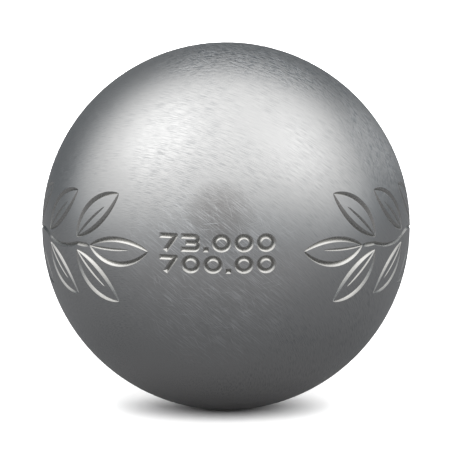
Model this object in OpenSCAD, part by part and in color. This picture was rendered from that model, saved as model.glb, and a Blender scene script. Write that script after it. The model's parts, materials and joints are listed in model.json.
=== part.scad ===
// Petanque boule: two forged half shells of steel, bevelled at the rim, butted together and
// welded all round, then turned to a true hollow ball and engraved with two laurel sprigs.
// The origin is the ball's centre. +Z is up, and -Y is the front, where the plain numbers go.
// The weld lies in the plane x = 0, so each half shell carries one whole sprig. Distances
// along and up from the belt line, which is the ball's level equator, are measured round the ball.

/* [Ball] */
// Outer diameter of the finished ball
ball_d = 73; // [70.5:0.1:80]
// Thickness of the steel wall
wall = 6.35; // [5:0.05:8]

/* [Weld] */
// Gap left between the two rims for the weld to fill
root_gap = 1.2; // [0.8:0.1:2]
// Height of the square land at the inner edge of each rim
root_face = 1.6; // [1:0.1:2.5]
// Slope of the bevel on each rim, from the plane of the joint
bevel_angle = 30; // [20:1:40]
// Width of the bead that stands proud inside the ball
root_bead_w = 4; // [3:0.1:6]
// Height of that bead
root_bead_h = 1; // [0.6:0.1:1.4]

/* [Engraved line] */
// Width of an engraved line at the surface of the ball
line_w = 0.9; // [0.5:0.05:1.2]
// Depth of an engraved line
line_depth = 0.45; // [0.25:0.05:0.7]
// Metal left whole between the ends of two lines
line_gap = 0.4; // [0.3:0.05:0.8]

/* [Sprig] */
// Distance round the ball from the middle of the front to the tip of a sprig
sprig_start = 15.5; // [14:0.5:18]
// Distance along the stem from one pair of leaves to the next
leaf_pitch = 11.5; // [9:0.5:12]
// Pairs of side leaves on a sprig
leaf_pairs = 6; // [3:1:6]
// Length of the bare stalk between the leaf at the tip and the first pair
stalk_len = 4; // [3:0.5:6]
// Length of the leaf at the tip of the sprig
leaf_len = 14; // [9:0.5:14.5]
// Greatest width of that leaf
leaf_w = 4.8; // [3:0.1:5.5]
// Angle between a side leaf and the stem
leaf_angle = 42; // [35:1:50]
// How far the stem swings to each side of the belt line
stem_wave = 0.9; // [0.3:0.1:1.5]

/* [Hidden] */
$fn = 96;

ball_r = ball_d / 2;
cavity_r = ball_r - wall;
// Radius at which the square land of a rim ends and its bevel starts
land_r = cavity_r + root_face;
// How far a cutting shape runs past the surface that it cuts
overrun = wall / 4;
cut_r = ball_r + overrun;
// Half the width of the weld at that radius
cut_half_w = root_gap / 2 + (cut_r - land_r) * tan(bevel_angle);
// Radius at which the weld's straight sides are lost in its inner bead
bead_core_r = cavity_r - root_bead_h / 2;
// Radius of that bead's round back, from its width and its height
bead_r = (pow(root_bead_w / 2, 2) + pow(root_bead_h, 2)) / (2 * root_bead_h);
// Share of the first leaf's size that the last pair of leaves keeps
last_leaf_share = 0.75;
// Share of a leaf's width that lies on its fuller side
full_share = 0.62;

function unit(v) = v / norm(v);

// Angle in degrees that a distance takes up on a circle
function turn_of(distance, radius) = distance / radius * 180 / PI;

// Point of the ball's surface, s along the belt line from the front and t up from it
function on_ball(s, t) =
    let (lon = turn_of(s, ball_r), lat = turn_of(t, ball_r))
    ball_r * [cos(lat) * sin(lon), -cos(lat) * cos(lon), sin(lat)];

// Section of the V-shaped cutter, with x pointing out of the ball
module cutter_section() {
    half_w = line_w / 2 / line_depth * (line_depth + overrun);
    polygon([
        [ball_r - line_depth, 0],
        [cut_r, half_w],
        [cut_r, -half_w]
    ]);
}

// Groove on the circle through three points of the surface, stopping short of both end points
module groove(from, through, to, spare) {
    start = unit(from);
    end = unit(to);
    axis = unit(cross(unit(through) - start, end - start));
    lift = axis * start;
    u = unit(start - axis * lift);
    v = cross(axis, u);
    turn = (atan2(end * v, end * u) + 360) % 360;
    spare_turn = turn_of(spare, ball_r * sqrt(1 - lift * lift));
    multmatrix([
        [u.x, v.x, axis.x, 0],
        [u.y, v.y, axis.y, 0],
        [u.z, v.z, axis.z, 0],
        [0, 0, 0, 1]
    ])
    rotate(spare_turn)
    rotate_extrude(angle = turn - 2 * spare_turn)
    rotate(asin(lift))
    cutter_section();
}

// Outline of a leaf in two lines, from its foot at s, t along a heading, and fuller on one side
module leaf(s, t, heading, size, side) {
    along = leaf_len * size * [cos(heading), sin(heading)];
    across = side * leaf_w * size * [-sin(heading), cos(heading)];
    middle = [s, t] + along / 2;
    full = middle + full_share * across;
    slim = middle - (1 - full_share) * across;
    foot = on_ball(s, t);
    tip = on_ball(s + along.x, t + along.y);
    groove(foot, on_ball(full.x, full.y), tip, line_gap);
    groove(foot, on_ball(slim.x, slim.y), tip, line_gap + line_w);
}

// Sprig to the right of the numbers: a leaf at its tip, its stalk, then pairs of leaves along a
// waving stem, which ends as a bare length behind the last pair
module sprig() {
    tip_s = sprig_start + leaf_len;
    first_s = tip_s + stalk_len;
    leaf(tip_s, 0, 180, 1, 1);
    groove(on_ball(tip_s, 0), on_ball((tip_s + first_s) / 2, 0), on_ball(first_s, 0), line_gap);
    for (i = [1:leaf_pairs]) {
        s = first_s + (i - 1) * leaf_pitch;
        size = 1 - (1 - last_leaf_share) * (i - 1) / leaf_pairs;
        swing = i % 2 == 0 ? stem_wave : -stem_wave;
        leaf(s, line_w + line_gap, 180 - leaf_angle, size, -1);
        leaf(s, -line_w - line_gap, 180 + leaf_angle, size, 1);
        groove(on_ball(s, 0), on_ball(s + leaf_pitch / 2, swing), on_ball(s + leaf_pitch, 0), line_gap);
    }
}

// Half of the hollow ball on the +X side, bevelled at its rim for the weld
module half_shell() {
    difference() {
        sphere(r = ball_r);
        sphere(r = cavity_r);
        rotate([0, 90, 0])
        rotate_extrude()
        polygon([
            [0, root_gap / 2],
            [land_r, root_gap / 2],
            [cut_r, cut_half_w],
            [cut_r, -cut_r],
            [0, -cut_r]
        ]);
        sprig();
    }
}

module right_half_shell() {
    color("silver") half_shell();
}

module left_half_shell() {
    color("silver") mirror([1, 0, 0]) half_shell();
}

// Weld that fills the bevelled joint flush with the ball, with its round bead inside
module weld_bead() {
    color("darkgray")
    rotate([0, 90, 0])
    rotate_extrude()
    union() {
        intersection() {
            circle(r = ball_r);
            polygon([
                [bead_core_r, -root_gap / 2],
                [land_r, -root_gap / 2],
                [cut_r, -cut_half_w],
                [cut_r, cut_half_w],
                [land_r, root_gap / 2],
                [bead_core_r, root_gap / 2]
            ]);
        }
        intersection() {
            circle(r = cavity_r);
            translate([cavity_r - root_bead_h + bead_r, 0]) circle(r = bead_r);
        }
    }
}

left_half_shell();
right_half_shell();
weld_bead();
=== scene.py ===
"""Petanque boule in satin steel, on a plain pale floor.

Each CAD node gets one piece: two half shells and the weld that joins them. The shells are spun from
their profile. Their leaf sprigs and plain numbers are then cut with V-shaped cutters, which follow
the ball's surface as a milling bit does, so each groove has two flat walls and a sharp bottom.
Everything is modelled in millimetres and scaled to metres once it is done. Named angles are in
degrees. Places s and t on the ball are measured round it from the middle of its front, s along its
level belt line to the right, and t up from that line.
"""
import json
import math

import bmesh
import bpy
from mathutils import Matrix, Vector

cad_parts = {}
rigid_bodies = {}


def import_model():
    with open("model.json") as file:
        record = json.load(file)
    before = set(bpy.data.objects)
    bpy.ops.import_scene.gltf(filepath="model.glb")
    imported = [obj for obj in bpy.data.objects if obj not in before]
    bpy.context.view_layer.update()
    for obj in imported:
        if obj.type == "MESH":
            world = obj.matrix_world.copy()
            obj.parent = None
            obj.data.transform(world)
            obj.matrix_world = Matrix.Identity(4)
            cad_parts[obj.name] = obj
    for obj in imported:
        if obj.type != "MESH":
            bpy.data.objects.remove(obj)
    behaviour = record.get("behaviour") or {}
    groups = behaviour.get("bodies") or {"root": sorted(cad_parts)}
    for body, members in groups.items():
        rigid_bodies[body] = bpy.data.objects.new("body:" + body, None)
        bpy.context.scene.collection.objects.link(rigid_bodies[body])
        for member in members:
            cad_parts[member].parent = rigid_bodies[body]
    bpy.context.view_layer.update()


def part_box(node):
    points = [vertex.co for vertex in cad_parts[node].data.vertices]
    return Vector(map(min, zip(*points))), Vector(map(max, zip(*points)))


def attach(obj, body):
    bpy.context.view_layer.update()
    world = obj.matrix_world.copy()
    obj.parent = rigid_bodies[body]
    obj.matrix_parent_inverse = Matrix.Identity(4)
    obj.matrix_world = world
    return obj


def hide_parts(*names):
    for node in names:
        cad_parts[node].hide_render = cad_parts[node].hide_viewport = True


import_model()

MM = 0.001
ORIGIN = Vector((0, 0, 0))
UP = Vector((0, 0, 1))

# Ball and weld: the radius is read from the CAD, and the others are the values of the part's source
BALL_R = round(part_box("right_half_shell")[1].x / MM, 2)
WALL = 6.35
ROOT_GAP = 1.2
ROOT_FACE = 1.6
BEVEL_ANGLE = 30
ROOT_BEAD_W = 4
ROOT_BEAD_H = 1
CAVITY_R = BALL_R - WALL
LAND_R = CAVITY_R + ROOT_FACE

# Sprig, with the values of the part's source
SPRIG_START = 15.5
LEAF_PITCH = 11.5
LEAF_PAIRS = 6
STALK_LEN = 4
LEAF_LEN = 14
LEAF_W = 4.8
LEAF_ANGLE = 42
STEM_WAVE = 0.9
LINE_W = 0.9
LINE_GAP = 0.4
LAST_LEAF_SHARE = 0.75
FULL_SHARE = 0.62
# Heading of the leaf at the tip, which points back to the numbers
TIP_HEADING = 180

# Grooves
OUTLINE_DEPTH = 0.52
STEM_DEPTH = 0.42
RIB_DEPTH = 0.26
# Share of its leaf's length that a middle rib runs
RIB_SHARE = 0.7
# Height of the flared lip of a groove, and how far it spreads for each millimetre of height
LIP_H = 0.05
LIP_SPREAD = 2.2
# How far a cutter stands out of the ball
OVERRUN = 0.15
# A stroke is swept in at least this many steps, none longer or turning further than these
FEWEST_STEPS = 2
STROKE_STEP = 0.45
STROKE_TURN = 12
# An angle this little before the start of a stroke, in radians, still counts as its start
START_SLACK = 0.002
# Share of the way to the middle of a bend that a cutter's inner corners may reach
INNER_REACH = 0.95
# How far a stroke runs into its neighbour
STROKE_OVERLAP = 0.08
# Steps round an oval or a pit
OVAL_STEPS = 40
# Share of its full section that a stroke keeps at a pointed end, and at a joint of the stem
POINTED = 0.07
JOINTED = 0.8
# Power of the sine that a stroke swells by. Below 1 it is full over most of its length
SWELL_POWER = 0.5

# Plain numbers: the diameter in millimetres over the mass in grams
NUMBER_ROWS = ("73.000", "700.00")
# Place of the middle of the rows along the belt line, and the distance between the rows
NUMBERS_S = -1.7
NUMBER_ROW_PITCH = 4.2
# Size of a figure between the middles of its strokes, and the room that each takes up
FIGURE_W = 2.8
FIGURE_H = 2.55
FIGURE_PITCH = 4.35
POINT_PITCH = 1.65
POINT_LEN = 0.1
FIGURE_DEPTH = 0.5
# Shares of its width at which a 7 has its foot, and a 3 the start of its middle stroke
LEG_SHARE = 0.35
TONGUE_SHARE = 0.4

# Mesh: steps round the weld's axis, and the longest steps of the arcs of a profile. Those of the
# cavity are longer, because it is never seen
ROUND_STEPS = 256
ARC_STEP = 0.9
CAVITY_STEP = ARC_STEP * 3
BEAD_STEP = 0.46
# Vertices that are nearer to each other than this are one
MERGE = 0.002
# Depth down to which a vertex counts as on the ball's surface, and a face as part of a groove
SURFACE_TOLERANCE = 0.012
GROOVE_REACH = 1
# Ripples round the bead inside, and the share of the bead's height that they rise and fall
RIPPLES = 48
RIPPLE_SHARE = 0.12
# Edges that turn less than the first are smooth. A groove's face that leans less than the second
# from the ball's surface is its lip
WALL_SMOOTH = 25
LIP_SLOPE = 35

# Steels in the order that each piece has them
SATIN, FRESHLY_CUT, FORGED = range(3)
# Depths of a fleck and of the grain, where a hairline's is 1, and the roughness that a hairline adds
FLECK_RELIEF = 7
GRAIN_RELIEF = 0.4
LINE_ROUGHNESS = 0.2

# Table and floor
FLOOR_R = 1500
TABLE_R = 900
DISC_SEGMENTS = 96
TABLE_LIFT = 0.05
# Towards its front the table is painted paler, as painted light, from the first place to the second, up to
# this share
TABLE_DARK_Y = -55
TABLE_PALE_Y = -110
TABLE_FRONT_SHARE = 0.62
# Under the ball it is painted paler, as painted light against the ball's shadow, from the first distance
# to the second. Both are measured from the ball's centre, which is 36.5 mm above the table
TABLE_DARK_REACH = 52
TABLE_PALE_REACH = 36

# Dome: its least and greatest brightness, and the heights where it has them, as shares of its radius
DOME_SUBDIVISIONS = 5
DOME_DARK = 0.2
DOME_BRIGHT = 1.62
DOME_LOW = 0.21
DOME_HIGH = 0.92
# It counts as higher towards the left, the front and both sides, which makes it brighter there
DOME_LEFT = -0.03
DOME_FRONT = -0.23
DOME_SIDES = 0.36
# Behind the first share of its radius it counts as lower, by the second at the very back, and is
# dimmed there to the third
DOME_BACK_FROM = 0.3
DOME_BACK = 0.6
DOME_BACK_DIM = 0.6

# Camera of the photograph: the ball is 368 of 450 pixels wide, a pixel right of and below the middle
PHOTO_SIDE = 450
BALL_PIXELS_R = 184
BALL_PIXELS_X = 226
BALL_PIXELS_Y = 226
CAMERA_LENS = 400
CAMERA_SENSOR = 36
CAMERA_ELEVATION = 8.5


def on_ball(s, t):
    """Point of the ball's surface, s along the belt line from the front and t up from it."""
    lon = s / BALL_R
    lat = t / BALL_R
    return BALL_R * Vector((math.cos(lat) * math.sin(lon), -math.cos(lat) * math.cos(lon), math.sin(lat)))


def finished_object(name, bm, collection=None):
    """Turns a bmesh into a linked object and frees it."""
    mesh = bpy.data.meshes.new(name)
    bm.to_mesh(mesh)
    bm.free()
    obj = bpy.data.objects.new(name, mesh)
    (collection or bpy.context.scene.collection).objects.link(obj)
    return obj


# Engraving cutters


def section_corners(depth):
    """Places across and heights of a V cutter's corners, with its lips flared at the surface."""
    shoulder_w = depth - LIP_H
    top_w = shoulder_w + LIP_SPREAD * (LIP_H + OVERRUN)
    return (
        (0, -depth), (shoulder_w, -LIP_H), (top_w, OVERRUN), (-top_w, OVERRUN), (-shoulder_w, -LIP_H),
    )


class Stroke:
    """The circle through three points of the ball's surface, followed from the first to the last.
    Its middle is rise times the ball's radius from the ball's centre, along its axis."""

    def __init__(self, start, through, end):
        first = start.normalized()
        last = end.normalized()
        self.axis = (through.normalized() - first).cross(last - first).normalized()
        self.rise = self.axis.dot(first)
        self.u = first - self.axis * self.rise
        self.ring_r = BALL_R * self.u.length
        self.u.normalize()
        self.v = self.axis.cross(self.u)
        self.turn = math.atan2(last.dot(self.v), last.dot(self.u)) % math.tau
        by_length = self.turn * self.ring_r / STROKE_STEP
        by_turn = self.turn / math.radians(STROKE_TURN)
        self.steps = math.ceil(max(FEWEST_STEPS, by_length, by_turn))

    def angle_of(self, point):
        """Angle of a point round the circle's axis, from the start of the stroke."""
        angle = math.atan2(point.dot(self.v), point.dot(self.u))
        return angle + math.tau if angle < -START_SLACK else angle

    def point(self, angle):
        """Point of the circle at an angle."""
        flat = self.u * math.cos(angle) + self.v * math.sin(angle)
        return flat * self.ring_r + self.axis * (self.rise * BALL_R)

    def along(self, angle):
        """Direction in which the stroke runs at an angle."""
        return self.v * math.cos(angle) - self.u * math.sin(angle)


def add_cutter(cutters, bm):
    """Adds a closed cutter whose faces point outwards."""
    bmesh.ops.recalc_face_normals(bm, faces=bm.faces)
    if bm.calc_volume(signed=True) < 0:
        bmesh.ops.reverse_faces(bm, faces=bm.faces)
    finished_object("cutter", bm, cutters)


def swept_section(stroke, depth):
    """Sweeps the V section along a stroke. In a tight bend its inner corners stop short of the middle."""
    bm = bmesh.new()
    up = stroke.point(0).normalized()
    inwards = (stroke.axis - up * stroke.rise).normalized() * math.copysign(1, stroke.rise)
    reach = stroke.ring_r * INNER_REACH
    ring = [bm.verts.new(up * (BALL_R + h) + inwards * min(w, reach)) for w, h in section_corners(depth)]
    face = bm.faces.new(ring)
    bmesh.ops.spin(
        bm, geom=[face] + list(face.edges) + ring, cent=ORIGIN, axis=stroke.axis, angle=stroke.turn,
        steps=stroke.steps,
    )
    return bm


def cut_carved(cutters, stroke, depth, first_size, last_size):
    """Stroke that swells from first_size of its section to all of it, and thins to last_size."""
    bm = swept_section(stroke, depth)
    for vert in bm.verts:
        angle = stroke.angle_of(vert.co)
        share = min(1, max(0, angle / stroke.turn))
        ends = first_size + (last_size - first_size) * share
        size = ends + (1 - ends) * math.sin(math.pi * share) ** SWELL_POWER
        foot = stroke.point(angle)
        vert.co = foot + (vert.co - foot) * size
    add_cutter(cutters, bm)


def cut_punched(cutters, stroke, depth, free_ends):
    """Stroke of even depth. It runs past its free ends on slopes as steep as its walls, and just
    overlaps its neighbour at the others. Its start is free before its end is."""
    bm = swept_section(stroke, depth)
    margin = stroke.turn / stroke.steps / 2
    for vert in bm.verts:
        angle = stroke.angle_of(vert.co)
        raised = vert.co.dot(stroke.point(angle).normalized()) - BALL_R + depth
        if angle < margin:
            vert.co -= stroke.along(angle) * (raised if free_ends > 0 else STROKE_OVERLAP)
        elif angle > stroke.turn - margin:
            vert.co += stroke.along(angle) * (raised if free_ends > 1 else STROKE_OVERLAP)
    add_cutter(cutters, bm)


def cut_pit(cutters, s, t, depth):
    """Round pit with the slope of a groove, where two strokes meet at a corner."""
    bm = bmesh.new()
    profile = [bm.verts.new((w, 0, h)) for w, h in (*section_corners(depth)[:3], (0, OVERRUN))]
    edges = [bm.edges.new(pair) for pair in zip(profile, profile[1:])]
    bmesh.ops.spin(
        bm, geom=profile + edges, cent=ORIGIN, axis=UP, angle=math.tau, steps=OVAL_STEPS, use_merge=True,
    )
    bmesh.ops.remove_doubles(bm, verts=bm.verts, dist=MERGE)
    for vert in bm.verts:
        vert.co = on_ball(s + vert.co.x, t + vert.co.y) * (1 + vert.co.z / BALL_R)
    add_cutter(cutters, bm)


def cut_oval(cutters, s, t, half_w, half_h, depth):
    """Closed oval groove, spun flat as a round one, drawn out to its height and laid on the ball."""
    bm = bmesh.new()
    ring = [bm.verts.new((half_w + w, 0, h)) for w, h in section_corners(depth)]
    edges = [bm.edges.new((ring[i - 1], ring[i])) for i in range(len(ring))]
    bmesh.ops.spin(
        bm, geom=ring + edges, cent=ORIGIN, axis=UP, angle=math.tau, steps=OVAL_STEPS, use_merge=True,
    )
    for vert in bm.verts:
        offset = vert.co.xy.length - half_w
        y = vert.co.y * (half_h + offset) / (half_w + offset)
        vert.co = on_ball(s + vert.co.x, t + y) * (1 + vert.co.z / BALL_R)
    add_cutter(cutters, bm)


# Sprigs


def cut_leaf(cutters, s, t, heading, size, side):
    """Leaf from its foot at s, t along a heading: its fuller outline, its slimmer one and its rib."""
    heading = math.radians(heading)
    along = Vector((math.cos(heading), math.sin(heading))) * LEAF_LEN * size
    across = Vector((-math.sin(heading), math.cos(heading))) * LEAF_W * size * side
    middle = Vector((s, t)) + along / 2
    full = middle + across * FULL_SHARE
    slim = middle - across * (1 - FULL_SHARE)
    # The rib bends half as much as the middle line of the leaf does
    rib_bend = (full + slim - middle * 2) / 4
    rib_middle = Vector((s, t)) + along * RIB_SHARE / 2 + rib_bend * RIB_SHARE
    rib_end = Vector((s, t)) + along * RIB_SHARE
    foot = on_ball(s, t)
    tip = on_ball(s + along.x, t + along.y)
    for through, end, depth in (
        (full, tip, OUTLINE_DEPTH),
        (slim, tip, OUTLINE_DEPTH),
        (rib_middle, on_ball(*rib_end), RIB_DEPTH),
    ):
        cut_carved(cutters, Stroke(foot, on_ball(*through), end), depth, POINTED, POINTED)


def cut_sprig(cutters):
    """Sprig to the right of the numbers: a leaf at its tip, its stalk, and pairs along the stem."""
    tip_s = SPRIG_START + LEAF_LEN
    first_s = tip_s + STALK_LEN
    cut_leaf(cutters, tip_s, 0, TIP_HEADING, 1, 1)
    stalk_end = on_ball(first_s + STROKE_OVERLAP, 0)
    stalk = Stroke(on_ball(tip_s, 0), on_ball((tip_s + first_s) / 2, 0), stalk_end)
    cut_carved(cutters, stalk, STEM_DEPTH, POINTED, JOINTED)
    for i in range(LEAF_PAIRS):
        s = first_s + i * LEAF_PITCH
        size = 1 - (1 - LAST_LEAF_SHARE) * i / LEAF_PAIRS
        for side in (1, -1):
            foot_t = side * (LINE_W + LINE_GAP)
            cut_leaf(cutters, s, foot_t, TIP_HEADING - side * LEAF_ANGLE, size, -side)
        swing = STEM_WAVE if i % 2 else -STEM_WAVE
        stem_end = on_ball(s + LEAF_PITCH + STROKE_OVERLAP, 0)
        stem = Stroke(on_ball(s - STROKE_OVERLAP, 0), on_ball(s + LEAF_PITCH / 2, swing), stem_end)
        last_size = POINTED if i == LEAF_PAIRS - 1 else JOINTED
        cut_carved(cutters, stem, STEM_DEPTH, JOINTED, last_size)


# Plain numbers


def straight(x0, y0, x1, y1):
    """Start, middle and end of a straight stroke."""
    return ((x0, y0), ((x0 + x1) / 2, (y0 + y1) / 2), (x1, y1))


def bowl(x, y, radius):
    """Right half of a circle, from its top to its foot."""
    return ((x, y + radius), (x + radius, y), (x, y - radius))


def cut_figure(cutters, figure, s, t):
    """One figure whose middle line has its lower left corner at s, t. Each of its strokes has three
    points and a number of free ends."""
    w, h = FIGURE_W, FIGURE_H
    if figure == "0":
        cut_oval(cutters, s + w / 2, t + h / 2, w / 2, h / 2, FIGURE_DEPTH)
        return
    if figure == "7":
        cut_pit(cutters, s + w, t + h, FIGURE_DEPTH)
    bend = w - h / 4
    strokes = {
        "7": ((straight(0, h, w, h), 1), (straight(w * LEG_SHARE, 0, w, h), 1)),
        "3": (
            (straight(0, h, bend, h), 1), (bowl(bend, h * 3 / 4, h / 4), 0),
            (straight(bend * TONGUE_SHARE, h / 2, bend, h / 2), 1), (bowl(bend, h / 4, h / 4), 0),
            (straight(0, 0, bend, 0), 1),
        ),
        ".": ((straight(0, 0, POINT_LEN, 0), 2),),
    }[figure]
    for points, free_ends in strokes:
        stroke = Stroke(*(on_ball(s + x, t + y) for x, y in points))
        cut_punched(cutters, stroke, FIGURE_DEPTH, free_ends)


def cut_numbers(cutters):
    """Rows of plain numbers, each centred on NUMBERS_S."""
    for row, text in enumerate(NUMBER_ROWS):
        widths = [POINT_PITCH if figure == "." else FIGURE_PITCH for figure in text]
        s = NUMBERS_S - (sum(widths) - FIGURE_PITCH + FIGURE_W) / 2
        t = ((len(NUMBER_ROWS) - 1) / 2 - row) * NUMBER_ROW_PITCH - FIGURE_H / 2
        for figure, width in zip(text, widths):
            cut_figure(cutters, figure, s, t)
            s += width


# Shells and weld


def weld_edge():
    """Half the weld's width and its radius where its bevel meets the ball."""
    slope = math.tan(math.radians(BEVEL_ANGLE))
    start = ROOT_GAP / 2 - LAND_R * slope
    a = 1 + slope * slope
    b = slope * start
    r = (-b + math.sqrt(b * b - a * (start * start - BALL_R * BALL_R))) / a
    return start + slope * r, r


def arc(bm, vert, angle, step, middle=ORIGIN):
    """Draws an arc about a middle, in the plane y = 0, and returns its last vertex."""
    steps = math.ceil(abs(angle) * (vert.co - middle).length / step)
    made = bmesh.ops.spin(bm, geom=[vert], cent=middle, axis=(0, 1, 0), angle=angle, steps=steps)
    return next(item for item in made["geom_last"] if isinstance(item, bmesh.types.BMVert))


def line_to(bm, vert, x, z):
    """Draws a line in the plane y = 0 and returns its last vertex."""
    end = bm.verts.new((x, 0, z))
    bm.edges.new((vert, end))
    return end


def spun(bm):
    """Spins a profile in the plane y = 0 round the X axis into a closed solid."""
    bmesh.ops.spin(
        bm, geom=bm.verts[:] + bm.edges[:], cent=ORIGIN, axis=(1, 0, 0), angle=math.tau,
        steps=ROUND_STEPS, use_merge=True,
    )
    bmesh.ops.remove_doubles(bm, verts=bm.verts, dist=MERGE)
    bmesh.ops.recalc_face_normals(bm, faces=bm.faces)


def plain_half_shell():
    """Right half shell before it is engraved, with its rim bevelled for the weld."""
    edge_x, edge_r = weld_edge()
    land_x = ROOT_GAP / 2
    cavity_x = math.sqrt(CAVITY_R ** 2 - land_x ** 2)
    bm = bmesh.new()
    vert = bm.verts.new((BALL_R, 0, 0))
    vert = arc(bm, vert, -math.atan2(edge_r, edge_x), ARC_STEP)
    vert = line_to(bm, vert, land_x, LAND_R)
    vert = line_to(bm, vert, land_x, cavity_x)
    arc(bm, vert, math.atan2(cavity_x, land_x), CAVITY_STEP)
    spun(bm)
    return bm


def ball_normals(obj):
    """Gives the ball's surface the normals of a true ball, and the grooves smooth walls."""
    mesh = obj.data
    mesh.shade_smooth()
    mesh.set_sharp_from_angle(angle=math.radians(WALL_SMOOTH))
    normals = [Vector(corner.vector) for corner in mesh.corner_normals]
    surface = (BALL_R - SURFACE_TOLERANCE) * MM
    lip_cosine = math.cos(math.radians(LIP_SLOPE))
    for face in mesh.polygons:
        outer = all(mesh.vertices[v].co.length > surface for v in face.vertices)
        lip = face.normal.dot(face.center.normalized()) > lip_cosine
        for loop in face.loop_indices:
            co = mesh.vertices[mesh.loops[loop].vertex_index].co
            if outer or (lip and co.length > surface):
                normals[loop] = co.normalized()
    mesh.normals_split_custom_set(normals)


def engrave(blank, *drawings):
    """Cuts the drawings out of a piece, scales it to metres and gives it its normals."""
    cutters = bpy.data.collections.new("cutters")
    bpy.context.scene.collection.children.link(cutters)
    for draw in drawings:
        draw(cutters)
    cut = blank.modifiers.new("engraving", "BOOLEAN")
    cut.operation = "DIFFERENCE"
    cut.operand_type = "COLLECTION"
    cut.collection = cutters
    cut.solver = "MANIFOLD"
    graph = bpy.context.evaluated_depsgraph_get()
    mesh = bpy.data.meshes.new_from_object(blank.evaluated_get(graph))
    blank.modifiers.clear()
    blank.data = mesh
    for cutter in list(cutters.objects):
        bpy.data.objects.remove(cutter)
    bpy.data.collections.remove(cutters)
    mesh.transform(Matrix.Scale(MM, 4))
    ball_normals(blank)


def mirrored(mesh):
    """Turns a mesh of the right side into one of the left."""
    mesh.transform(Matrix.Diagonal((-1, 1, 1, 1)))
    mesh.flip_normals()


def cut_left_sprig(cutters):
    """Sprig to the left of the numbers. It mirrors all the cutters that there are, so it comes first."""
    cut_sprig(cutters)
    for cutter in cutters.objects:
        mirrored(cutter.data)


def right_half_shell():
    """Forged half shell with its sprig, and the numbers on its side of the weld."""
    blank = finished_object("right_half_shell_shown", plain_half_shell())
    engrave(blank, cut_sprig, cut_numbers)
    return blank


def left_half_shell():
    """The other half shell, with the mirrored sprig and its share of the numbers."""
    blank = finished_object("left_half_shell_shown", plain_half_shell())
    mirrored(blank.data)
    engrave(blank, cut_left_sprig, cut_numbers)
    return blank


def weld_bead():
    """The weld: flush with the ball outside, where the numbers cross it, bevelled at its sides, and
    with a rippled bead inside."""
    edge_x, edge_r = weld_edge()
    land_x = ROOT_GAP / 2
    cavity_r = math.sqrt(CAVITY_R ** 2 - land_x ** 2)
    toe_x = ROOT_BEAD_W / 2
    toe_r = math.sqrt(CAVITY_R ** 2 - toe_x ** 2)
    crown_r = CAVITY_R - ROOT_BEAD_H
    middle_r = (toe_x ** 2 + toe_r ** 2 - crown_r ** 2) / (2 * (toe_r - crown_r))
    toe_angle = math.atan2(toe_x, middle_r - toe_r)
    bm = bmesh.new()
    first = bm.verts.new((edge_x, 0, edge_r))
    vert = arc(bm, first, -2 * math.atan2(edge_x, edge_r), ARC_STEP)
    vert = line_to(bm, vert, -land_x, LAND_R)
    vert = line_to(bm, vert, -land_x, cavity_r)
    vert = line_to(bm, vert, -toe_x, toe_r)
    vert = arc(bm, vert, -2 * toe_angle, BEAD_STEP, Vector((0, 0, middle_r)))
    vert = line_to(bm, vert, land_x, cavity_r)
    vert = line_to(bm, vert, land_x, LAND_R)
    bm.edges.new((vert, first))
    spun(bm)
    for vert in bm.verts:
        height = toe_r - vert.co.yz.length
        if height > MERGE:
            wave = math.cos(RIPPLES * math.atan2(vert.co.z, vert.co.y))
            lift = 1 + RIPPLE_SHARE * wave * height / vert.co.yz.length
            vert.co.yz = vert.co.yz * lift
    blank = finished_object("weld_bead_shown", bm)
    engrave(blank, cut_numbers)
    return blank


# Materials


def colour(hex_code):
    """Linear colour of an sRGB hex value."""
    channels = [int(hex_code[i:i + 2], 16) / 255 for i in (0, 2, 4)]
    linear = [c / 12.92 if c <= 0.04045 else ((c + 0.055) / 1.055) ** 2.4 for c in channels]
    return (*linear, 1)


def node(tree, kind, inputs=None, **settings):
    """Adds a node with its settings, and gives each named input a value or a link."""
    made = tree.nodes.new(kind)
    for key, value in settings.items():
        setattr(made, key, value)
    for key, value in (inputs or {}).items():
        if isinstance(value, bpy.types.NodeSocket):
            tree.links.new(value, made.inputs[key])
        else:
            made.inputs[key].default_value = value
    return made


def new_material(name):
    """Empty material with its node tree."""
    material = bpy.data.materials.new(name)
    material.use_nodes = True
    material.node_tree.nodes.clear()
    return material, material.node_tree


def per_mm(size):
    """Texture scale of a pattern whose grain is size millimetres, on coordinates in metres."""
    return 1 / (size * MM)


def hairlines(tree, place, pole, width, length, low, high):
    """Short lines that follow circles about a pole of the ball, as a polishing wheel leaves them.
    They start where the noise is above low, and are full above high."""
    turn = Vector(pole).to_track_quat("Z", "Y").inverted().to_euler()
    turned = node(tree, "ShaderNodeMapping", {"Vector": place, "Rotation": tuple(turn)})
    axes = node(tree, "ShaderNodeSeparateXYZ", {0: turned.outputs[0]}).outputs
    height = node(tree, "ShaderNodeMath", {0: axes["Z"], 1: BALL_R * MM}, operation="DIVIDE")
    away = node(tree, "ShaderNodeMath", {0: height.outputs[0]}, operation="ARCCOSINE")
    around = node(tree, "ShaderNodeMath", {0: axes["Y"], 1: axes["X"]}, operation="ARCTAN2")
    angles = node(tree, "ShaderNodeCombineXYZ", {"X": away.outputs[0], "Y": around.outputs[0]})
    stretched = node(tree, "ShaderNodeMapping", {
        "Vector": angles.outputs[0], "Scale": (BALL_R / width, BALL_R / length, 1),
    })
    noise = node(tree, "ShaderNodeTexNoise", {
        "Vector": stretched.outputs[0], "Scale": 1, "Detail": 2, "Roughness": 0.6, "Distortion": 0.15,
    }, noise_dimensions="2D")
    return node(tree, "ShaderNodeMapRange", {
        "Value": noise.outputs["Fac"], "From Min": low, "From Max": high,
    }).outputs[0]


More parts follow.
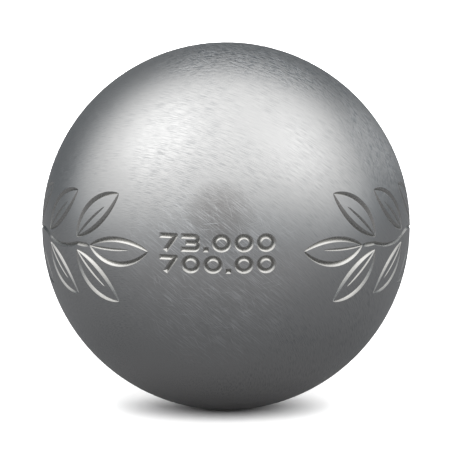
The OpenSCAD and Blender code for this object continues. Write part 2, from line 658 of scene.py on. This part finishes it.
def spot(tree, outward, middle, edge, full, least, most):
    """Round spot about a direction from the ball's centre. Its value is least where the cosine of
    the angle from its middle is up to edge, and grows to most where the cosine reaches full."""
    nearness = node(tree, "ShaderNodeVectorMath", {
        0: outward, 1: Vector(middle).normalized(),
    }, operation="DOT_PRODUCT").outputs["Value"]
    return node(tree, "ShaderNodeMapRange", {
        "Value": nearness, "From Min": edge, "From Max": full, "To Min": least, "To Max": most,
    }).outputs[0]


def steel_surface(tree, base, roughness, bump):
    """Metal surface from a colour, a roughness and a bump, which are node outputs."""
    surface = node(tree, "ShaderNodeBsdfPrincipled", {
        "Base Color": base, "Metallic": 1, "Roughness": roughness, "Normal": bump,
    })
    node(tree, "ShaderNodeOutputMaterial", {"Surface": surface.outputs[0]})


def satin_carbon_steel():
    """Carbon steel, turned true and tumbled. Its satin face blurs the light into one broad glow,
    crossed by short dull hairlines in patches, and by bright lines about the numbers that are painted
    pale as glints. Above the numbers a worn patch has more hairlines, and is painted darker as shade.
    A band of coarser fleck marks, painted darker as a dark reflection, and of painted glints runs
    over the upper right."""
    material, tree = new_material("satin_carbon_steel")
    place = node(tree, "ShaderNodeTexCoord").outputs["Object"]
    outward = node(tree, "ShaderNodeVectorMath", {0: place}, operation="NORMALIZE").outputs[0]

    # Patches. W picks the slice of the clouds whose patches lie roughly as the real ones do
    clouds = node(tree, "ShaderNodeTexNoise", {
        "Vector": place, "W": 2, "Scale": per_mm(14), "Detail": 5, "Roughness": 0.6, "Distortion": 0.4,
    }, noise_dimensions="4D").outputs["Fac"]
    patches = node(tree, "ShaderNodeMapRange", {
        "Value": clouds, "From Min": 0.38, "From Max": 0.62, "To Min": 0.4, "To Max": 1.4,
    }).outputs[0]
    # Worn patch above the numbers: it has more hairlines, and its darker colour 999796 is painted shade
    rubbed_and_shaded = spot(tree, outward, middle=(-0.03, -0.98, 0.2), edge=0.98, full=0.998, least=0, most=0.8)

    # Dull hairlines. They are about 0.1 mm wide and are drawn a little wider, so that they show
    even_lines = hairlines(
        tree, place, pole=(-0.42, -0.6, -0.68), width=0.14, length=2.6, low=0.42, high=0.8,
    )
    patchy = node(tree, "ShaderNodeMath", {0: patches, 1: rubbed_and_shaded}, operation="ADD").outputs[0]
    lines = node(tree, "ShaderNodeMath", {0: even_lines, 1: patchy}, operation="MULTIPLY").outputs[0]

    # Flecks, in a band that crosses the upper right where the spot's value is near 0. They are sunk in
    # relief, and their dark bluish colour is a painted reflection of the dark surroundings at the rim
    off_band = node(tree, "ShaderNodeMath", {
        0: spot(tree, outward, middle=(0, -0.99, 0.15), edge=0, full=1, least=-0.3, most=0.7),
    }, operation="ABSOLUTE").outputs[0]
    band = node(tree, "ShaderNodeMapRange", {
        "Value": off_band, "From Min": 0.34, "From Max": 0.1,
    }).outputs[0]
    upper_right = spot(tree, outward, middle=(0.45, -0.25, 0.85), edge=0.6, full=0.8, least=0, most=1)
    flecked = node(tree, "ShaderNodeMath", {0: band, 1: upper_right}, operation="MULTIPLY").outputs[0]
    uneven = node(tree, "ShaderNodeMath", {0: flecked, 1: patches}, operation="MULTIPLY").outputs[0]
    even_flecks = hairlines(
        tree, place, pole=(-0.1, -0.95, 0.3), width=0.7, length=1.8, low=0.44, high=0.66,
    )
    flecks_with_dark_reflection = node(tree, "ShaderNodeMath", {0: even_flecks, 1: uneven}, operation="MULTIPLY").outputs[0]

    # Bright lines in three directions, about the numbers and in the band: scratches painted pale as
    # glints where they catch the light. They too are drawn wider than they are
    scratches = 0
    for pole, width, length, low, high in (
        ((-0.63, -0.1, -0.77), 0.2, 5, 0.5, 0.8),
        ((0.9, -0.1, 0.3), 0.24, 5, 0.64, 0.86),
        ((0.1, 0.5, -0.8), 0.24, 6, 0.66, 0.86),
    ):
        layer = hairlines(tree, place, pole, width, length, low, high)
        scratches = node(tree, "ShaderNodeMath", {0: scratches, 1: layer}, operation="ADD").outputs[0]
    handled_glint_spot = spot(tree, outward, middle=(-0.08, -0.97, -0.15), edge=0.84, full=0.97, least=0.05, most=1.2)
    glint_mask = node(tree, "ShaderNodeMath", {0: handled_glint_spot, 1: uneven}, operation="MAXIMUM").outputs[0]
    scratch_glints = node(tree, "ShaderNodeMath", {0: scratches, 1: glint_mask}, operation="MULTIPLY").outputs[0]

    # Colour, from clean metal through what dulls it, the painted shade above the numbers and the flecks'
    # painted dark reflection, to the painted glints of the bright lines
    base = node(tree, "ShaderNodeMix", {
        "Factor": clouds, "A": colour("B5B5B5"), "B": colour("C4C4C3"),
    }, data_type="RGBA").outputs["Result"]
    for mark, hex_code in (
        (lines, "A8A9AA"), (rubbed_and_shaded, "999796"), (flecks_with_dark_reflection, "8C9094"), (scratch_glints, "DCDDDE"),
    ):
        base = node(tree, "ShaderNodeMix", {
            "Factor": mark, "A": base, "B": colour(hex_code),
        }, data_type="RGBA").outputs["Result"]
    cloudy = node(tree, "ShaderNodeMapRange", {
        "Value": clouds, "From Min": 0.3, "From Max": 0.7, "To Min": 0.38, "To Max": 0.3,
    }).outputs[0]
    rough = node(tree, "ShaderNodeMath", {
        0: lines, 1: LINE_ROUGHNESS, 2: cloudy,
    }, operation="MULTIPLY_ADD").outputs[0]

    # Relief, all of it sunk. The tumbled grain is really finer than 0.5 mm, and is drawn that coarse
    # so that it shows
    grain = node(tree, "ShaderNodeTexNoise", {
        "Vector": place, "Scale": per_mm(0.5), "Detail": 3, "Roughness": 0.7,
    }).outputs["Fac"]
    relief = node(tree, "ShaderNodeMath", {
        0: flecks_with_dark_reflection, 1: FLECK_RELIEF, 2: lines,
    }, operation="MULTIPLY_ADD").outputs[0]
    height = node(tree, "ShaderNodeMath", {
        0: grain, 1: GRAIN_RELIEF, 2: relief,
    }, operation="MULTIPLY_ADD").outputs[0]
    bump = node(tree, "ShaderNodeBump", {
        "Height": height, "Strength": 0.2, "Distance": 0.06 * MM,
    }, invert=True).outputs[0]
    steel_surface(tree, base, rough, bump)
    return material


def engraved_steel():
    """The same steel where the tool has just cut it: clean and brighter, with fine tool marks, which
    are drawn coarser than they are, so that they show."""
    material, tree = new_material("engraved_steel")
    place = node(tree, "ShaderNodeTexCoord").outputs["Object"]
    marks = node(tree, "ShaderNodeTexNoise", {
        "Vector": place, "Scale": per_mm(0.35), "Detail": 3, "Roughness": 0.6,
    }).outputs["Fac"]
    base = node(tree, "ShaderNodeMix", {
        "Factor": marks, "A": colour("ACABA8"), "B": colour("C3C2BF"),
    }, data_type="RGBA").outputs["Result"]
    rough = node(tree, "ShaderNodeMapRange", {
        "Value": marks, "To Min": 0.2, "To Max": 0.32,
    }).outputs[0]
    bump = node(tree, "ShaderNodeBump", {
        "Height": marks, "Strength": 0.25, "Distance": 0.05 * MM,
    }).outputs[0]
    steel_surface(tree, base, rough, bump)
    return material


def forged_steel():
    """The unseen inside, as forged and hardened: dull, dark and mottled with scale."""
    material, tree = new_material("forged_steel")
    place = node(tree, "ShaderNodeTexCoord").outputs["Object"]
    scale = node(tree, "ShaderNodeTexNoise", {
        "Vector": place, "Scale": per_mm(3), "Detail": 6, "Roughness": 0.65,
    }).outputs["Fac"]
    base = node(tree, "ShaderNodeMix", {
        "Factor": scale, "A": colour("4A4B50"), "B": colour("77757A"),
    }, data_type="RGBA").outputs["Result"]
    rough = node(tree, "ShaderNodeMapRange", {
        "Value": scale, "To Min": 0.5, "To Max": 0.75,
    }).outputs[0]
    bump = node(tree, "ShaderNodeBump", {
        "Height": scale, "Strength": 0.6, "Distance": 0.2 * MM,
    }).outputs[0]
    steel_surface(tree, base, rough, bump)
    return material


def lay_steels(obj, steels):
    """Gives the ball's face, its grooves and its inside their own steels."""
    obj.data.materials.clear()
    for steel in steels:
        obj.data.materials.append(steel)
    surface = (BALL_R - SURFACE_TOLERANCE) * MM
    deepest = (BALL_R - GROOVE_REACH) * MM
    for face in obj.data.polygons:
        lowest = min(obj.data.vertices[v].co.length for v in face.vertices)
        if face.center.length < deepest:
            face.material_index = FORGED
        elif lowest > surface:
            face.material_index = SATIN
        else:
            face.material_index = FRESHLY_CUT


# Stage


def disc(name, radius, lift):
    """Flat disc about the foot of the ball, raised by lift."""
    bm = bmesh.new()
    bmesh.ops.create_circle(bm, cap_ends=True, segments=DISC_SEGMENTS, radius=radius)
    bmesh.ops.translate(bm, vec=(0, 0, lift - BALL_R), verts=bm.verts)
    bmesh.ops.scale(bm, vec=(MM, MM, MM), verts=bm.verts)
    return finished_object(name, bm)


def floor():
    """Plain pale floor under the ball, which the steel doesn't reflect."""
    obj = disc("floor", FLOOR_R, 0)
    material, tree = new_material("matt_white_card")
    surface = node(tree, "ShaderNodeBsdfDiffuse", {"Color": colour("FDFDFD")})
    node(tree, "ShaderNodeOutputMaterial", {"Surface": surface.outputs[0]})
    obj.data.materials.append(material)
    obj.visible_glossy = False
    return obj


def only_in_reflections(obj):
    """Makes a piece of the stage that shows only in the steel."""
    obj.visible_camera = False
    obj.visible_diffuse = False
    obj.visible_shadow = False
    obj.visible_transmission = False
    obj.visible_volume_scatter = False


def dark_table():
    """Dark card that the steel reflects from below, and which takes the ball's shadow. It is painted
    paler, as painted light, at its front, and under the ball, where it is in the deepest shadow."""
    obj = disc("dark_table", TABLE_R, TABLE_LIFT)
    material, tree = new_material("matt_grey_card")
    place = node(tree, "ShaderNodeTexCoord").outputs["Object"]
    along = node(tree, "ShaderNodeSeparateXYZ", {0: place}).outputs["Y"]
    forwards = node(tree, "ShaderNodeMapRange", {
        "Value": along, "From Min": TABLE_DARK_Y * MM, "From Max": TABLE_PALE_Y * MM,
        "To Max": TABLE_FRONT_SHARE,
    }).outputs[0]
    away = node(tree, "ShaderNodeVectorMath", {0: place}, operation="LENGTH").outputs["Value"]
    beneath = node(tree, "ShaderNodeMapRange", {
        "Value": away, "From Min": TABLE_DARK_REACH * MM, "From Max": TABLE_PALE_REACH * MM,
    }).outputs[0]
    pale = node(tree, "ShaderNodeMath", {0: forwards, 1: beneath}, operation="MAXIMUM").outputs[0]
    card = node(tree, "ShaderNodeMix", {
        "Factor": pale, "A": colour("868789"), "B": colour("ACABAC"),
    }, data_type="RGBA").outputs["Result"]
    surface = node(tree, "ShaderNodeBsdfDiffuse", {"Color": card})
    node(tree, "ShaderNodeOutputMaterial", {"Surface": surface.outputs[0]})
    obj.data.materials.append(material)
    only_in_reflections(obj)


def graded_dome():
    """Dome of card over the table, dark at its foot and white overhead, for the steel to reflect.
    Its white reaches lowest at the two sides. It is brighter on the left and darker at the back."""
    bm = bmesh.new()
    bmesh.ops.create_icosphere(bm, subdivisions=DOME_SUBDIVISIONS, radius=TABLE_R)
    foot = Vector((0, 0, -BALL_R))
    bmesh.ops.bisect_plane(
        bm, geom=bm.verts[:] + bm.edges[:] + bm.faces[:], plane_co=foot, plane_no=UP, clear_inner=True,
    )
    bmesh.ops.scale(bm, vec=(MM, MM, MM), verts=bm.verts)
    obj = finished_object("graded_dome", bm)
    material, tree = new_material("graded_card")
    place = node(tree, "ShaderNodeTexCoord").outputs["Object"]
    outward = node(tree, "ShaderNodeVectorMath", {0: place}, operation="NORMALIZE").outputs[0]
    tilted = node(tree, "ShaderNodeVectorMath", {
        0: outward, 1: (DOME_LEFT, DOME_FRONT, 1),
    }, operation="DOT_PRODUCT").outputs["Value"]
    axes = node(tree, "ShaderNodeSeparateXYZ", {0: outward}).outputs
    sides = node(tree, "ShaderNodeMath", {0: axes["X"], 1: 2}, operation="POWER").outputs[0]
    behind = node(tree, "ShaderNodeMapRange", {
        "Value": axes["Y"], "From Min": DOME_BACK_FROM, "To Max": DOME_BACK,
    }).outputs[0]
    lowered = node(tree, "ShaderNodeMath", {0: tilted, 1: behind}, operation="SUBTRACT").outputs[0]
    height = node(tree, "ShaderNodeMath", {
        0: sides, 1: DOME_SIDES, 2: lowered,
    }, operation="MULTIPLY_ADD").outputs[0]
    grade = node(tree, "ShaderNodeMapRange", {
        "Value": height, "From Min": DOME_LOW, "From Max": DOME_HIGH,
        "To Min": DOME_DARK, "To Max": DOME_BRIGHT,
    }).outputs[0]
    tint = node(tree, "ShaderNodeMix", {
        "Factor": grade, "A": colour("DBEBF8"), "B": colour("FFFFFF"),
    }, data_type="RGBA").outputs["Result"]
    dimmed = node(tree, "ShaderNodeMapRange", {
        "Value": axes["Y"], "From Min": DOME_BACK_FROM, "To Min": 1, "To Max": DOME_BACK_DIM,
    }).outputs[0]
    strength = node(tree, "ShaderNodeMath", {0: grade, 1: dimmed}, operation="MULTIPLY").outputs[0]
    glow = node(tree, "ShaderNodeEmission", {"Color": tint, "Strength": strength})
    node(tree, "ShaderNodeOutputMaterial", {"Surface": glow.outputs[0]})
    obj.data.materials.append(material)
    only_in_reflections(obj)


def direction(azimuth, elevation):
    """Unit vector. Azimuth 0 is the front, and 90 degrees the right."""
    azimuth = math.radians(azimuth)
    elevation = math.radians(elevation)
    flat = math.cos(elevation)
    return Vector((math.sin(azimuth) * flat, -math.cos(azimuth) * flat, math.sin(elevation)))


def softbox(name, azimuth, elevation, distance, width, height, glow):
    """Lamp that faces the ball. Its glow is the brightness of its face, where 1 is white."""
    lamp = bpy.data.lights.new(name, "AREA")
    lamp.shape = "RECTANGLE"
    lamp.size = width * MM
    lamp.size_y = height * MM
    lamp.energy = glow * lamp.size * lamp.size_y * math.pi
    obj = bpy.data.objects.new(name, lamp)
    bpy.context.scene.collection.objects.link(obj)
    away = direction(azimuth, elevation)
    obj.location = away * distance * MM
    obj.rotation_euler = away.to_track_quat("Z", "Y").to_euler()
    obj.visible_camera = False
    return obj


def studio(pale_floor):
    """White room with three softboxes for the steel, and two that light only the floor and so shape
    the ball's shadow."""
    world = bpy.data.worlds.new("white_room")
    bpy.context.scene.world = world
    world.use_nodes = True
    background = world.node_tree.nodes["Background"]
    background.inputs["Color"].default_value = (1, 1, 1, 1)
    background.inputs["Strength"].default_value = 1
    softbox("left_softbox", azimuth=-70, elevation=54, distance=700, width=430, height=450, glow=0.6)
    softbox("right_softbox", azimuth=64, elevation=44, distance=700, width=300, height=450, glow=0.4)
    softbox("back_softbox", azimuth=140, elevation=14, distance=700, width=250, height=250, glow=0.7)
    lit = bpy.data.collections.new("lit_by_floor_softboxes")
    lit.objects.link(pale_floor)
    for name, azimuth, glow in (("front_floor_softbox", 5, 12), ("back_floor_softbox", 180, 8.5)):
        lamp = softbox(name, azimuth, elevation=30, distance=850, width=500, height=560, glow=glow)
        lamp.visible_glossy = False
        lamp.light_linking.receiver_collection = lit


def camera():
    """Camera of the photograph, at the distance that makes the ball as wide as it is there."""
    data = bpy.data.cameras.new("camera")
    data.lens = CAMERA_LENS
    data.sensor_width = CAMERA_SENSOR
    data.clip_start = BALL_R * MM
    data.shift_x = -(BALL_PIXELS_X - PHOTO_SIDE / 2) / PHOTO_SIDE
    data.shift_y = (BALL_PIXELS_Y - PHOTO_SIDE / 2) / PHOTO_SIDE
    half_view = math.atan(CAMERA_SENSOR / 2 / CAMERA_LENS)
    ball_angle = math.atan(BALL_PIXELS_R / (PHOTO_SIDE / 2) * math.tan(half_view))
    away = direction(0, CAMERA_ELEVATION)
    obj = bpy.data.objects.new("camera", data)
    bpy.context.scene.collection.objects.link(obj)
    obj.location = away * BALL_R * MM / math.sin(ball_angle)
    obj.rotation_euler = away.to_track_quat("Z", "Y").to_euler()
    bpy.context.scene.camera = obj


# The scene

steels = (satin_carbon_steel(), engraved_steel(), forged_steel())
for make, cad_node, slot in (
    (left_half_shell, "left_half_shell", "satin_steel"),
    (right_half_shell, "right_half_shell", "satin_steel"),
    (weld_bead, "weld_bead", "weld_steel"),
):
    piece = make()
    lay_steels(piece, steels)
    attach(piece, "root")
    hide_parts(cad_node)

pale_floor = floor()
dark_table()
graded_dome()
studio(pale_floor)
camera()
bpy.context.scene.view_settings.view_transform = "Standard"
